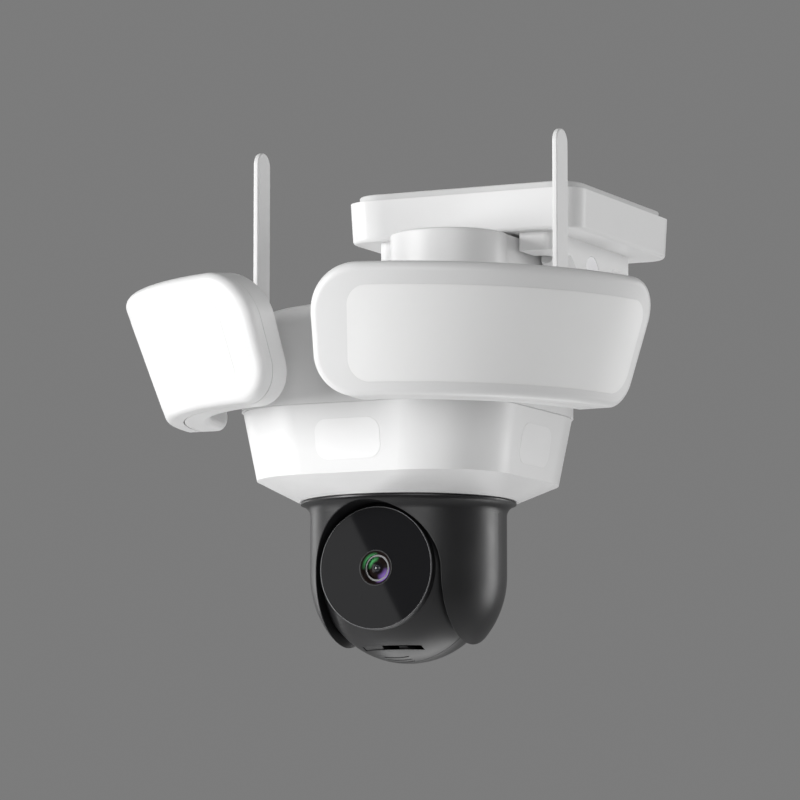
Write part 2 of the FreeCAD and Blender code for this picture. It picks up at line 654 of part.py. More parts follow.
def yoke_slot():
    """The space the camera swings in: an arch through the front, and the whole bottom."""
    half = SLOT_HALF
    arch = rod(half, V(0, PAN_Y - 60, ARCH_CENTRE), Y_AXIS, 60)
    front = box(-half, half, PAN_Y - 60, PAN_Y, TILT_Z - 60, ARCH_CENTRE)
    bottom = box(-half, half, PAN_Y - 5, PAN_Y + 60, TILT_Z - 60, BACK_EDGE)
    return fuse([arch, front, bottom])


def slot_edges(body, outside):
    """The edges of body that run where the slot's walls meet the outside face."""
    walls = Part.Compound(yoke_slot().Faces)
    skin = Part.Compound(outside.Faces)
    found = []
    for edge in body.Edges:
        span = edge.LastParameter - edge.FirstParameter
        places = [Part.Vertex(edge.valueAt(edge.FirstParameter + span * part)) for part in (0.2, 0.5, 0.8)]
        on_walls = all(place.distToShape(walls)[0] < 0.001 for place in places)
        on_skin = all(place.distToShape(skin)[0] < 0.001 for place in places)
        if on_walls and on_skin:
            found.append(edge)
    return found


def cheek_pocket(x0, x1):
    return box(x0, x1, PAN_Y - 22, PAN_Y + 22, TILT_Z - 20, TILT_Z + 30)


def yoke_shell():
    outside = fuse([yoke_round(YOKE_RADIUS), yoke_flare()])
    body = outside.cut(yoke_slot())
    body = body.makeChamfer(SLOT_EDGE, slot_edges(body, outside))
    ball_space = Part.makeSphere(BALL_RADIUS + 0.9, V(0, PAN_Y, TILT_Z))
    between = box(-SLOT_HALF, SLOT_HALF, PAN_Y - 60, PAN_Y + 60, TILT_Z - 60, YOKE_TOP)
    body = body.cut(ball_space.common(between))
    pocket = cheek_pocket(SLOT_HALF - 1, 60).common(yoke_round(YOKE_RADIUS - YOKE_WALL))
    for side in both_sides(pocket):
        body = body.cut(side)
    body = body.fuse(tilt_motor_pad())
    return body.cut(rod(8.0, V(0, PAN_Y, YOKE_TOP - 5), Z_AXIS, 10))


def yoke_covers():
    """Plates that close the two cheeks towards the camera; the tilt bushes sit in them."""
    plate = cheek_pocket(SLOT_HALF, SLOT_HALF + COVER_PLATE).common(yoke_round(YOKE_RADIUS - YOKE_WALL))
    plate = plate.cut(rod(5.6, V(SLOT_HALF - 1, PAN_Y, TILT_Z), X_AXIS, 5))
    return both_sides(plate)


def tilt_bushes():
    one = tube(5.6, SHAFT_RADIUS + RUN, V(SLOT_HALF, PAN_Y, TILT_Z), X_AXIS, COVER_PLATE)
    return both_sides(one)


def pan_hub():
    """Hollow stub from the yoke up through the bush, with a collar that carries the weight."""
    top = CHASSIS_TOP + 1.6
    stub = rod(HUB_RADIUS, V(0, PAN_Y, YOKE_TOP), Z_AXIS, top + 3 - YOKE_TOP)
    collar = rod(HUB_RADIUS + 4, V(0, PAN_Y, top), Z_AXIS, 3.0)
    flange = rod(16.0, V(0, PAN_Y, YOKE_TOP), Z_AXIS, 3.0)
    return fuse([stub, collar, flange]).cut(rod(8.0, V(0, PAN_Y, YOKE_TOP), Z_AXIS, 30))


def pan_gear():
    body = gear(PAN_TEETH, PAN_MODULE, PAN_GEAR_THICK, 16.0, 90.0 + 180.0 / PAN_TEETH)
    body.translate(V(0, PAN_Y, PAN_GEAR_Z - 0.2))
    return body


def tilt_motor():
    start = V(TILT_MOTOR_X, PAN_Y, TILT_Z + TILT_CENTRES)
    can = rod(8.5, start, X_AXIS, TILT_MOTOR_LENGTH)
    return can.cut(rod(TILT_MOTOR_SHAFT + RUN, start, X_AXIS, 3.5))


def tilt_motor_pad():
    """Pad from the yoke's cheek to the back of the tilt motor."""
    start = V(TILT_MOTOR_X + TILT_MOTOR_LENGTH, PAN_Y, TILT_Z + TILT_CENTRES)
    return rod(5.0, start, X_AXIS, 10.0).common(yoke_round(YOKE_RADIUS - 0.5))


def tilt_pinion():
    body = gear(TILT_PINION_TEETH, TILT_MODULE, TILT_GEAR_THICK, 1.0, 0.0)
    body = fuse([body, rod(TILT_MOTOR_SHAFT, V(0, 0, 0), Z_AXIS, TILT_GEAR_THICK + 3.5)])
    return along_x(body, V(TILT_GEAR_X, PAN_Y, TILT_Z + TILT_CENTRES))


# ---- tilt: camera ball -----------------------------------------------------------------------------
def ball_solid(inset):
    sphere = Part.makeSphere(BALL_RADIUS - inset, V(0, PAN_Y, TILT_Z))
    half = BALL_HALF - inset
    front = PAN_Y - SNOUT_FRONT + inset
    sphere = sphere.common(box(-half, half, front, PAN_Y + 60, TILT_Z - 60, TILT_Z + 60))
    snout = rod(SNOUT_RADIUS - inset, V(0, PAN_Y, TILT_Z), V(0, -1, 0), SNOUT_FRONT - inset)
    return fuse([sphere, snout])


def ball_hollow():
    return ball_solid(0).cut(ball_solid(BALL_WALL))


def tilted(shape, degrees):
    """Turns a shape about the tilt axis; positive points it down."""
    shape.rotate(V(0, PAN_Y, TILT_Z), X_AXIS, degrees)
    return shape


def card_slot(x0, x1, width, outer, inner):
    """Level strip of the ball's skin between two radii, on the lower front."""
    middle = TILT_Z - CARD_SLOT_DROP
    strip = box(x0, x1, PAN_Y - 60, PAN_Y - 5, middle - width / 2, middle + width / 2)
    skin = Part.makeSphere(outer, V(0, PAN_Y, TILT_Z)).cut(Part.makeSphere(inner, V(0, PAN_Y, TILT_Z)))
    return strip.common(skin)


def speaker_slots():
    slots = []
    for angle in (72, 77, 82):
        slot = box(-6, 6, PAN_Y - 42, PAN_Y - 37, TILT_Z - 0.45, TILT_Z + 0.45)
        slots.append(tilted(slot, angle))
    return slots


def ball_front():
    body = ball_hollow().common(box(-60, 60, PAN_Y - 60, PAN_Y - BALL_SPLIT, TILT_Z - 60, TILT_Z + 60))
    body = body.cut(rod(GLASS_RADIUS, V(0, PAN_Y - SNOUT_FRONT - 1, TILT_Z), Y_AXIS, 3.2))
    body = body.cut(rod(LENS_RADIUS, V(0, PAN_Y - SNOUT_FRONT - 1, TILT_Z), Y_AXIS, 8))
    seat_start = V(0, PAN_Y - SNOUT_FRONT - 1, TILT_Z)
    bezel_seat = tube(SNOUT_RADIUS + 2, SNOUT_RADIUS - 0.9, seat_start, Y_AXIS, 2.2)
    slot = card_slot(-CARD_SLOT_HALF, CARD_SLOT_HALF, CARD_SLOT_WIDTH, BALL_RADIUS + 1, BALL_RADIUS - 4)
    body = body.cut(bezel_seat).cut(slot)
    for slot in speaker_slots():
        body = body.cut(slot)
    shaft_space = rod(SHAFT_RADIUS, V(-60, PAN_Y, TILT_Z), X_AXIS, 120)
    return body.cut(shaft_space)


def ball_rear():
    gap = 0.3
    body = ball_hollow().common(box(-60, 60, PAN_Y - BALL_SPLIT + gap, PAN_Y + 60, TILT_Z - 60, TILT_Z + 60))
    lip = ball_solid(BALL_WALL).cut(ball_solid(BALL_WALL + 1.2))
    split = PAN_Y - BALL_SPLIT
    lip = lip.common(box(-60, 60, split - BALL_LIP, split + 2, TILT_Z - 60, TILT_Z + 60))
    body = fuse([body, lip])
    return body.cut(rod(SHAFT_RADIUS, V(-60, PAN_Y, TILT_Z), X_AXIS, 120))


def lens_bezel():
    """Bright trim ring round the camera's face."""
    ring = tube(SNOUT_RADIUS, GLASS_RADIUS, V(0, PAN_Y - SNOUT_FRONT, TILT_Z), Y_AXIS, 1.2)
    front = [edge for edge in ring.Edges if edge.BoundBox.YMax < PAN_Y - SNOUT_FRONT + 0.01
             and edge.BoundBox.XLength > 2 * GLASS_RADIUS + 0.5]
    return ring.makeChamfer(0.35, front)


def front_glass():
    disc = rod(GLASS_RADIUS, V(0, PAN_Y - SNOUT_FRONT + 0.2, TILT_Z), Y_AXIS, 2.0)
    return disc.cut(rod(LENS_RADIUS, V(0, PAN_Y - SNOUT_FRONT - 1, TILT_Z), Y_AXIS, 5))


def lens_barrel():
    front = PAN_Y - SNOUT_FRONT + 0.1
    body = tube(LENS_RADIUS, BARREL_BORE, V(0, front, TILT_Z), Y_AXIS, 18.0)
    mouth = Part.makeCone(7.5, BARREL_BORE, 1.6, V(0, front, TILT_Z), Y_AXIS)
    return body.cut(mouth)


def lens_ring():
    return tube(BARREL_BORE, 5.1, V(0, PAN_Y - SNOUT_FRONT + 1.7, TILT_Z), Y_AXIS, 1.2)


def lens_glass():
    """Front element: a domed disc held in the barrel's bore, its middle showing through the ring."""
    front = PAN_Y - SNOUT_FRONT + 1.5
    radius = 9.0
    dome = Part.makeSphere(radius, V(0, front + radius, TILT_Z))
    return dome.common(rod(BARREL_BORE, V(0, front, TILT_Z), Y_AXIS, 4.0))


def sensor_board():
    start = PAN_Y - SNOUT_FRONT + 18.1
    board = box(-15, 15, start, start + 1.6, TILT_Z - 15, TILT_Z + 15)
    chip = box(-4, 4, start - 1.0, start, TILT_Z - 4, TILT_Z + 4)
    return fuse([board, chip])


def card_cover():
    """Flap over the memory card at the left end of the slot, slightly sunk."""
    inner_end = -0.2 * CARD_SLOT_HALF
    flap = card_slot(-CARD_SLOT_HALF, inner_end, CARD_SLOT_WIDTH, BALL_RADIUS - 0.35, BALL_RADIUS - 4)
    ahead_of_lip = box(-30, 30, PAN_Y - 60, PAN_Y - BALL_SPLIT - BALL_LIP - 0.3, TILT_Z - 60, TILT_Z)
    return flap.common(ahead_of_lip)


def reset_button():
    """Small key in the slot; it is pushed straight back."""
    return card_slot(4.5, 8.0, CARD_SLOT_WIDTH - 0.7, BALL_RADIUS - 0.9, BALL_RADIUS - 4)


def tilt_shafts():
    right = rod(SHAFT_RADIUS, V(BALL_HALF - BALL_WALL - 3, PAN_Y, TILT_Z), X_AXIS,
                TILT_GEAR_X + TILT_GEAR_THICK - BALL_HALF + BALL_WALL + 3)
    left = rod(SHAFT_RADIUS, V(-BALL_HALF + BALL_WALL + 3, PAN_Y, TILT_Z), V(-1, 0, 0), 10.5)
    return [right, left]


def tilt_gear():
    body = gear(TILT_TEETH, TILT_MODULE, TILT_GEAR_THICK, SHAFT_RADIUS, 180.0 + 180.0 / TILT_TEETH)
    return along_x(body, V(TILT_GEAR_X, PAN_Y, TILT_Z))


# ---- light heads (the right one; the left one is its mirror image) ---------------------------------
def face_radius(z):
    part_way = (z - HEAD_BOTTOM) / (HEAD_TOP - HEAD_BOTTOM)
    return HEAD_BOTTOM_RADIUS + (HEAD_TOP_RADIUS - HEAD_BOTTOM_RADIUS) * part_way


def beyond_end(at, side):
    """Everything past a head's end: a leaning plane at azimuth at; side is -1 inner, 1 outer."""
    middle = (HEAD_TOP + HEAD_BOTTOM) / 2
    low, high = (-120, 0) if side < 0 else (0, 120)
    block = box(40, 200, low, high, middle - 60, middle + 60)
    block.rotate(V(0, 0, middle), X_AXIS, side * HEAD_LEAN)
    block.rotate(V(0, 0, 0), Z_AXIS, at - 90)
    return block


def slab(front, back, bottom, top, start, end):
    """Piece of the curved slab: front and back are depths behind the face, start and end azimuths."""
    points = [V(face_radius(bottom) - front, 0, bottom), V(face_radius(top) - front, 0, top),
              V(face_radius(top) - back, 0, top + HEAD_RISE * (back - front)),
              V(face_radius(bottom) - back, 0, bottom)]
    spare = 4.0
    face = Part.Face(Part.makePolygon(points + points[:1]))
    body = face.revolve(V(0, 0, 0), Z_AXIS, end - start + 2 * spare)
    body.rotate(V(0, 0, 0), Z_AXIS, start - spare - 90)
    return body.cut(beyond_end(start, -1)).cut(beyond_end(end, 1))


def azimuth(point):
    return math.degrees(math.atan2(point.x, -point.y))


def round_corners(body, radii):
    """Rounds the four corners seen from the front; radii maps (inner end?, top?) to a radius."""
    for (inner, top), radius in radii.items():
        chosen = []
        for edge in body.Edges:
            first = edge.firstVertex().Point
            last = edge.lastVertex().Point
            level = abs(first.z - last.z) < 4.0
            radial = abs(azimuth(first) - azimuth(last)) < 1.0
            if not (level and radial):
                continue
            is_inner = azimuth(first) < HEAD_MIDDLE
            is_top = first.z > (HEAD_TOP + HEAD_BOTTOM) / 2
            if is_inner == inner and is_top == top:
                chosen.append(edge)
        body = body.makeFillet(radius, chosen)
    return body


def on_cone(edge, depth):
    """True when the whole edge lies on the slab's surface at this depth."""
    for point in edge.discretize(7):
        reach = math.hypot(point.x, point.y)
        if abs(reach - (face_radius(point.z) - depth)) > 0.01:
            return False
    return True


def corner_radii(less):
    return {(True, True): 22.5 - less, (True, False): 17.0 - less,
            (False, True): 19.0 - less, (False, False): 12.0 - less}


def turn_of(length):
    """The angle that spans a length along the middle of the light's face."""
    return math.degrees(length / face_radius((HEAD_TOP + HEAD_BOTTOM) / 2))


def inset_slab(front, back, inset, radii):
    body = slab(front, back, HEAD_BOTTOM + inset, HEAD_TOP - inset,
                HEAD_START + turn_of(inset), HEAD_END - turn_of(inset))
    return round_corners(body, radii)


def head_outer():
    body = inset_slab(0, HEAD_DEPTH, 0, corner_radii(0))
    body = body.makeFillet(FRONT_ROUND, [edge for edge in body.Edges if on_cone(edge, 0)])
    return body.makeFillet(BACK_ROUND, [edge for edge in body.Edges if on_cone(edge, HEAD_DEPTH)])


def head_cavity(extra):
    less = HEAD_WALL + extra
    return inset_slab(less, HEAD_DEPTH - less, less + 1.2, corner_radii(less + 1.2))


def diffuser_slab(front, back, shrink):
    """The lit area: margins differ at the top, bottom, inner end and outer end."""
    bottom = HEAD_BOTTOM + 5.5 + shrink
    top = HEAD_TOP - 9.8 - shrink
    body = slab(front, back, bottom, top, HEAD_START + turn_of(17.0 + shrink),
                HEAD_END - turn_of(8.0 + shrink))
    return round_corners(body, {(True, True): 9.0 - shrink, (True, False): 9.0 - shrink,
                                (False, True): 10.0 - shrink, (False, False): 9.0 - shrink})


def depth_range(front, back):
    return slab(front, back, HEAD_BOTTOM - 5, HEAD_TOP + 5, HEAD_START - 4, HEAD_END + 4)


def placed_head(shape):
    shape.translate(V(0, PAN_Y, 0))
    return shape


def light_bezel(outer, cavity):
    body = outer.common(depth_range(-5, HEAD_SPLIT)).cut(cavity)
    return placed_head(body.cut(diffuser_slab(-2, HEAD_WALL + 1, 0)))


def light_diffuser():
    plate = diffuser_slab(-2, HEAD_WALL + 3, 0.02).common(depth_range(-0.1, HEAD_WALL + 0.1))
    flange = diffuser_slab(-2, HEAD_WALL + 3, -1.8).common(depth_range(HEAD_WALL + 0.1, HEAD_WALL + 1.1))
    return placed_head(plate.fuse(flange).removeSplitter())


def light_rear(outer, cavity):
    """Rear housing with the lip that closes the groove and two ears for the tilt pin."""
    body = outer.common(depth_range(HEAD_SPLIT + HEAD_GROOVE, 40)).cut(cavity)
    lip = cavity.cut(head_cavity(1.3)).common(depth_range(HEAD_SPLIT - 2, HEAD_SPLIT + 3.5))
    ears = []
    for side in (-1, 1):
        y0 = side * 7.8 - 1.5
        eye = rod(6.0, V(TILT_PIN_RADIUS, y0, ARM_Z), Y_AXIS, 3.0)
        web = box(TILT_PIN_RADIUS, TILT_PIN_RADIUS + 16, y0, y0 + 3.0, ARM_Z - 6.0, ARM_Z + 6.0)
        ear = fuse([eye, web]).cut(rod(2.2, V(TILT_PIN_RADIUS, y0 - 1, ARM_Z), Y_AXIS, 5))
        ear.rotate(V(0, 0, 0), Z_AXIS, HEAD_MIDDLE - 90)
        ears.append(ear.cut(outer.common(depth_range(-5, HEAD_DEPTH - 1.5))))
    return placed_head(fuse([body, lip] + ears))


def light_board():
    body = slab(7.0, 8.4, HEAD_BOTTOM + 9, HEAD_TOP - 9, HEAD_START + turn_of(10), HEAD_END - turn_of(10))
    return placed_head(body)


def light_leds():
    """Three rows of lamps on the board, each standing square to the pan axis."""
    lamps = []
    columns = 12
    for row in (-1, 0, 1):
        z = (HEAD_TOP + HEAD_BOTTOM) / 2 + row * 13.0
        for column in range(columns):
            turn = HEAD_START + 9 + (HEAD_END - HEAD_START - 18) * column / (columns - 1)
            start = face_radius(z - 1.4) - 7.0 + 0.4
            lamp = box(start - 0.3, start + 1.0, -1.4, 1.4, z - 1.4, z + 1.4)
            lamp = lamp.cut(slab(7.0, 12.0, z - 4, z + 4, 80, 100))
            lamp.rotate(V(0, 0, 0), Z_AXIS, turn - 90)
            lamps.append(placed_head(lamp))
    return lamps


def light_bracket():
    """Fork on the drum's side with an upright pin hole."""
    plate = rod(LIGHT_SEAT_RADIUS - 0.5, V(LIGHT_SEAT, 0, ARM_Z), X_AXIS, BRACKET_PLATE)
    arms = []
    for side in (-1, 1):
        z0 = ARM_Z + side * 6.8 - BRACKET_ARM / 2
        arm = box(LIGHT_SEAT, SWIVEL_RADIUS, -5.5, 5.5, z0, z0 + BRACKET_ARM)
        eye = rod(5.5, V(SWIVEL_RADIUS, 0, z0), Z_AXIS, BRACKET_ARM)
        arms.append(arm.fuse(eye))
    body = fuse([plate] + arms)
    return at_head(body.cut(rod(SWIVEL_PIN_RADIUS, V(SWIVEL_RADIUS, 0, ARM_Z - 20), Z_AXIS, 40)))


def light_swivel_pin():
    pin = rod(SWIVEL_PIN_RADIUS, V(SWIVEL_RADIUS, 0, ARM_Z - 8.6), Z_AXIS, 17.2)
    head = rod(3.6, V(SWIVEL_RADIUS, 0, ARM_Z + 8.35), Z_AXIS, 1.2)
    return at_head(fuse([pin, head]))


def light_knuckle():
    """Block that swivels on the upright pin and carries the level tilt pin."""
    upright = rod(5.6, V(SWIVEL_RADIUS, 0, ARM_Z - 5.0), Z_AXIS, 10.0)
    level = rod(5.6, V(TILT_PIN_RADIUS, -6.0, ARM_Z), Y_AXIS, 12.0)
    bar = box(SWIVEL_RADIUS, TILT_PIN_RADIUS, -4.5, 4.5, ARM_Z - 4.5, ARM_Z + 4.5)
    body = fuse([upright, level, bar])
    body = body.cut(rod(SWIVEL_PIN_RADIUS + RUN, V(SWIVEL_RADIUS, 0, ARM_Z - 20), Z_AXIS, 40))
    return at_head(body.cut(rod(TILT_PIN_SHAFT + RUN, V(TILT_PIN_RADIUS, -20, ARM_Z), Y_AXIS, 40)))


def light_tilt_pin():
    pin = rod(2.2, V(TILT_PIN_RADIUS, -9.6, ARM_Z), Y_AXIS, 19.2)
    heads = [rod(3.6, V(TILT_PIN_RADIUS, 9.35, ARM_Z), Y_AXIS, 1.3),
             rod(3.6, V(TILT_PIN_RADIUS, -10.65, ARM_Z), Y_AXIS, 1.3)]
    return at_head(fuse([pin] + heads))


# ---- antennas --------------------------------------------------------------------------------------
def antenna_paddle():
    """Flat blade, round at both ends, slightly thicker round its pivot."""
    x0 = ANTENNA_X - ANTENNA_THICK / 2
    tip = ANTENNA_TIP - ANTENNA_HALF
    disc = rod(ANTENNA_HALF, V(x0, PAN_Y, ANTENNA_Z), X_AXIS, ANTENNA_THICK)
    blade = box(x0, x0 + ANTENNA_THICK, PAN_Y - ANTENNA_HALF, PAN_Y + ANTENNA_HALF, ANTENNA_Z, tip)
    end = rod(ANTENNA_HALF, V(x0, PAN_Y, tip), X_AXIS, ANTENNA_THICK)
    body = fuse([disc, blade, end])
    outline = [edge for edge in body.Edges if edge.BoundBox.XLength < 1e-6]
    body = body.makeFillet(0.7, outline)
    return body.cut(rod(2.0 + RUN, V(x0 - 1, PAN_Y, ANTENNA_Z), X_AXIS, 6))


def antenna_pin():
    start = V(DRUM_RADIUS - 1, PAN_Y, ANTENNA_Z)
    pin = rod(2.0, start, X_AXIS, ANTENNA_X + ANTENNA_THICK / 2 + 0.3 - start.x)
    head = rod(3.8, V(ANTENNA_X + ANTENNA_THICK / 2 + 0.3, PAN_Y, ANTENNA_Z), X_AXIS, 1.2)
    return fuse([pin, head])


# ---- build -----------------------------------------------------------------------------------------
def build_mount():
    save("mount_cover", mount_cover())
    save("mount_gasket", mount_gasket())
    save("mount_bracket", mount_bracket())
    save("hinge_saddle", hinge_saddle())
    save("cover_screws", cover_screws())
    save("hinge_bolt", hinge_bolt())
    save("hinge_nut", hinge_nut())
    save("friction_washers", friction_washers())


def build_body():
    save("neck_shell", neck_shell())
    save("upper_housing", upper_housing())
    save("lower_housing", lower_housing())
    save("seam_seal", seam_seal())
    save("pir_windows", pir_windows())
    save("pir_sensors", pir_sensors())
    save("chassis_plate", chassis_plate())
    save("chassis_screws", chassis_screws())
    save("pan_bush", pan_bush())
    save("pan_motor", pan_motor())
    save("pan_pinion", pan_pinion())
    save("main_board", main_board())
    save("power_supply", power_supply())
    save("siren", siren())


def build_camera():
    save("yoke_shell", yoke_shell())
    save("yoke_covers", yoke_covers())
    save("tilt_bushes", tilt_bushes())
    save("pan_hub", pan_hub())
    save("pan_gear", pan_gear())
    save("tilt_motor", tilt_motor())
    save("tilt_pinion", tilt_pinion())
    save("ball_front", ball_front())
    save("ball_rear", ball_rear())
    save("lens_bezel", lens_bezel())
    save("front_glass", front_glass())
    save("lens_barrel", lens_barrel())
    save("lens_ring", lens_ring())
    save("lens_glass", lens_glass())
    save("sensor_board", sensor_board())
    save("card_cover", card_cover())
    save("reset_button", reset_button())
    save("tilt_shafts", tilt_shafts())
    save("tilt_gear", tilt_gear())


def build_lights():
    outer = head_outer()
    cavity = head_cavity(0)
    pieces = {"light_bezel": light_bezel(outer, cavity), "light_diffuser": light_diffuser(),
              "light_rear": light_rear(outer, cavity), "light_board": light_board(),
              "light_knuckle": light_knuckle(), "light_tilt_pin": light_tilt_pin()}
    for name, shape in pieces.items():
        right, left = both_sides(shape)
        save(name + "_right", lights_turned(right))
        save(name + "_left", lights_turned(left))
    lamps = light_leds()
    save("light_leds_left", [lights_turned(mirrored(lamp)) for lamp in lamps])
    save("light_leds_right", [lights_turned(lamp) for lamp in lamps])
    save("light_brackets", [lights_turned(bracket) for bracket in both_sides(light_bracket())])
    save("light_swivel_pins", [lights_turned(pin) for pin in both_sides(light_swivel_pin())])


def build_antennas():
    save("antenna_paddle_right", antenna_paddle())
    save("antenna_paddle_left", mirrored(antenna_paddle()))
    save("antenna_pins", both_sides(antenna_pin()))


os.makedirs("parts", exist_ok=True)
build_mount()
build_body()
build_camera()
build_lights()
build_antennas()
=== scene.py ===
"""Looks for an outdoor security camera with two floodlights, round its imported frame.

All lengths are metres in the frame of the model: +Z up, the camera looks along -Y.
"""

import json
import math

import bmesh
import bpy
from mathutils import Matrix, Vector


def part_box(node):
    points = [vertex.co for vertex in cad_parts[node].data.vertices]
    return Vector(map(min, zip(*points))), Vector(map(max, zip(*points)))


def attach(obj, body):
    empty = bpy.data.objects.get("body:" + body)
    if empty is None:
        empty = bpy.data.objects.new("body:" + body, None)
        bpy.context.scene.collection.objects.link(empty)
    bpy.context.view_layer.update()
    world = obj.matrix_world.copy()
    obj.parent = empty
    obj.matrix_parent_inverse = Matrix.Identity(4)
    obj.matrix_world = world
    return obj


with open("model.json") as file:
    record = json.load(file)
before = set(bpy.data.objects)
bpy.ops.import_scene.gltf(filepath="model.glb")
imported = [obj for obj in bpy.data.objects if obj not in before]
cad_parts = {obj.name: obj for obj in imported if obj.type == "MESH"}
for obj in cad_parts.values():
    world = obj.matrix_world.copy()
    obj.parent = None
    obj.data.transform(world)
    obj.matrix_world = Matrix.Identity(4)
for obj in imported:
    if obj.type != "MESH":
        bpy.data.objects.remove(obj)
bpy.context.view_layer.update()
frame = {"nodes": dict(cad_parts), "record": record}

MM = 0.001

# ---- viewpoint -------------------------------------------------------------------------------------
EYE = Vector((0.8673, -1.9318, -0.3451))
EYE_YAW = 25.60           # degrees about +Z from looking along +Y
EYE_PITCH = 6.79          # degrees above the horizon
FOCAL_LENGTH = 203.0
SENSOR_WIDTH = 36.0

# ---- studio ----------------------------------------------------------------------------------------
WORLD_LEVEL = 0.20
FLOOR_Z = -1.8
FLOOR_HALF = 20.0
SUBJECT = Vector((0.0, -0.11, -0.11))

# ---- lens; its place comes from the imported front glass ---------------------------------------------
GLASS_LOW, GLASS_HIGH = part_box("front_glass")
GLASS_FACE = GLASS_LOW.y
LENS_CENTRE = (GLASS_LOW + GLASS_HIGH) / 2
RIM_STEPS = 96
PUPIL_STEPS = 12
PUPIL_CURVE = 2.4 * MM
PUPIL_APEX = 0.9 * MM               # how far behind the glass face the small centre dome begins
PUPIL_DEPTH = 1.2 * MM
PUPIL_FIRST = math.radians(2)       # its dome runs from here, leaving a pinhole on the axis
PUPIL_SWEEP = math.radians(50)
RIM_OUTER = 7.92 * MM
RIM_INNER = 7.55 * MM
RIM_FRONT = -0.20 * MM              # negative depths stand proud of the glass face
RIM_BACK = -0.05 * MM
PAINTED_REFLECTION_ANGLE = math.radians(135)   # where the painted reflections sit: the green crescent is at the upper left, the violet one opposite

# ---- card light seen in the black glass ------------------------------------------------------------
CARD_LEAN = math.radians(26)        # its edge leans this far from upright, top to the left
CARD_SIZE = 1.3
CARD_DISTANCE = 2.4
CARD_POWER = 3.8


# ---- node helpers ----------------------------------------------------------------------------------
# A colour mix node has sockets of every type; these are the ones that colours use.
MIX_FACTOR = 0
MIX_FIRST = 6
MIX_SECOND = 7
MIX_RESULT = 2


class Shader:
    """A material under construction: its principled shader and the means to add nodes to it."""

    def __init__(self, name):
        self.material = bpy.data.materials.new(name)
        self.material.use_nodes = True
        self.tree = self.material.node_tree
        self.surface = self.tree.nodes["Principled BSDF"]
        self.coordinates = self.add("ShaderNodeTexCoord")

    def add(self, kind, **settings):
        node = self.tree.nodes.new(kind)
        for key, value in settings.items():
            setattr(node, key, value)
        return node

    def link(self, source, target):
        self.tree.links.new(source, target)

    def set(self, **values):
        """Sets sockets of the principled shader; an underscore stands for a space."""
        for key, value in values.items():
            self.surface.inputs[key.replace("_", " ")].default_value = value

    def noise(self, scale, detail=3.0, stretch=None):
        """Noise in object space; scale is in features per metre."""
        node = self.add("ShaderNodeTexNoise")
        node.inputs["Scale"].default_value = scale
        node.inputs["Detail"].default_value = detail
        place = self.coordinates.outputs["Object"]
        if stretch:
            mapping = self.add("ShaderNodeMapping")
            mapping.inputs["Scale"].default_value = stretch
            self.link(place, mapping.inputs["Vector"])
            place = mapping.outputs["Vector"]
        self.link(place, node.inputs["Vector"])
        return node.outputs["Fac"]

    def between(self, factor, low, high, start=0.3, end=0.7):
        """A number that goes from low to high while factor goes from start to end."""
        node = self.add("ShaderNodeMapRange")
        node.inputs["From Min"].default_value = start
        node.inputs["From Max"].default_value = end
        node.inputs["To Min"].default_value = low
        node.inputs["To Max"].default_value = high
        self.link(factor, node.inputs["Value"])
        return node.outputs["Result"]

    def mixed(self, factor, first, second):
        """A colour that follows factor from first to second."""
        node = self.add("ShaderNodeMix", data_type="RGBA")
        node.inputs[MIX_FIRST].default_value = (*first, 1.0)
        node.inputs[MIX_SECOND].default_value = (*second, 1.0)
        self.link(factor, node.inputs[MIX_FACTOR])
        return node.outputs[MIX_RESULT]

    def mixed_over(self, under, factor, second):
        """A linked colour that gives way to second as factor rises."""
        node = self.add("ShaderNodeMix", data_type="RGBA")
        self.link(under, node.inputs[MIX_FIRST])
        node.inputs[MIX_SECOND].default_value = (*second, 1.0)
        self.link(factor, node.inputs[MIX_FACTOR])
        return node.outputs[MIX_RESULT]

    def math(self, operation, first, second):
        """The result of one operation on a linked number and a second, linked or constant."""
        node = self.add("ShaderNodeMath", operation=operation)
        self.link(first, node.inputs[0])
        if isinstance(second, float):
            node.inputs[1].default_value = second
        else:
            self.link(second, node.inputs[1])
        return node.outputs[0]

    def bump(self, height, depth):
        """Roughens the surface; depth is in metres."""
        node = self.add("ShaderNodeBump")
        node.inputs["Strength"].default_value = 1.0
        node.inputs["Distance"].default_value = depth
        self.link(height, node.inputs["Height"])
        self.link(node.outputs["Normal"], self.surface.inputs["Normal"])


def shaded(colour, amount):
    """The colour darkened to amount of itself."""
    return tuple(channel * amount for channel in colour)


def moulded(name, colour, roughness, grain_depth, mottle=0.03, grain=3200.0):
    """Moulded plastic: spark-eroded grain, slow changes of gloss and a faint change of tone."""
    shader = Shader(name)
    patches = shader.noise(22.0, 2.0)
    tone = shader.mixed(patches, shaded(colour, 1 - mottle), colour)
    shader.link(tone, shader.surface.inputs["Base Color"])
    gloss = shader.noise(60.0, 4.0)
    shader.link(shader.between(gloss, roughness * 0.9, roughness * 1.12), shader.surface.inputs["Roughness"])
    shader.bump(shader.noise(grain, 2.0), grain_depth)
    return shader


# ---- materials -------------------------------------------------------------------------------------
def white_shell():
    return moulded("white_shell", (0.81, 0.81, 0.81), 0.40, 0.000012).material


def antenna_white():
    return moulded("antenna_white", (0.84, 0.84, 0.84), 0.52, 0.000016).material


def window_white():
    return moulded("window_white", (0.88, 0.88, 0.88), 0.30, 0.000004).material


def diffuser():
    """Opal acrylic: light goes some way in, and the surface is silky."""
    shader = moulded("diffuser", (0.95, 0.95, 0.945), 0.36, 0.000006, 0.010)
    shader.set(Subsurface_Weight=0.10, Subsurface_Scale=0.006, Subsurface_Radius=(1.0, 1.0, 0.95))
    return shader.material


def rubber():
    return moulded("rubber", (0.70, 0.70, 0.70), 0.78, 0.00003, 0.08, 1500.0).material


def grey_cast():
    return moulded("grey_cast", (0.80, 0.80, 0.80), 0.50, 0.00003, 0.05, 1800.0).material


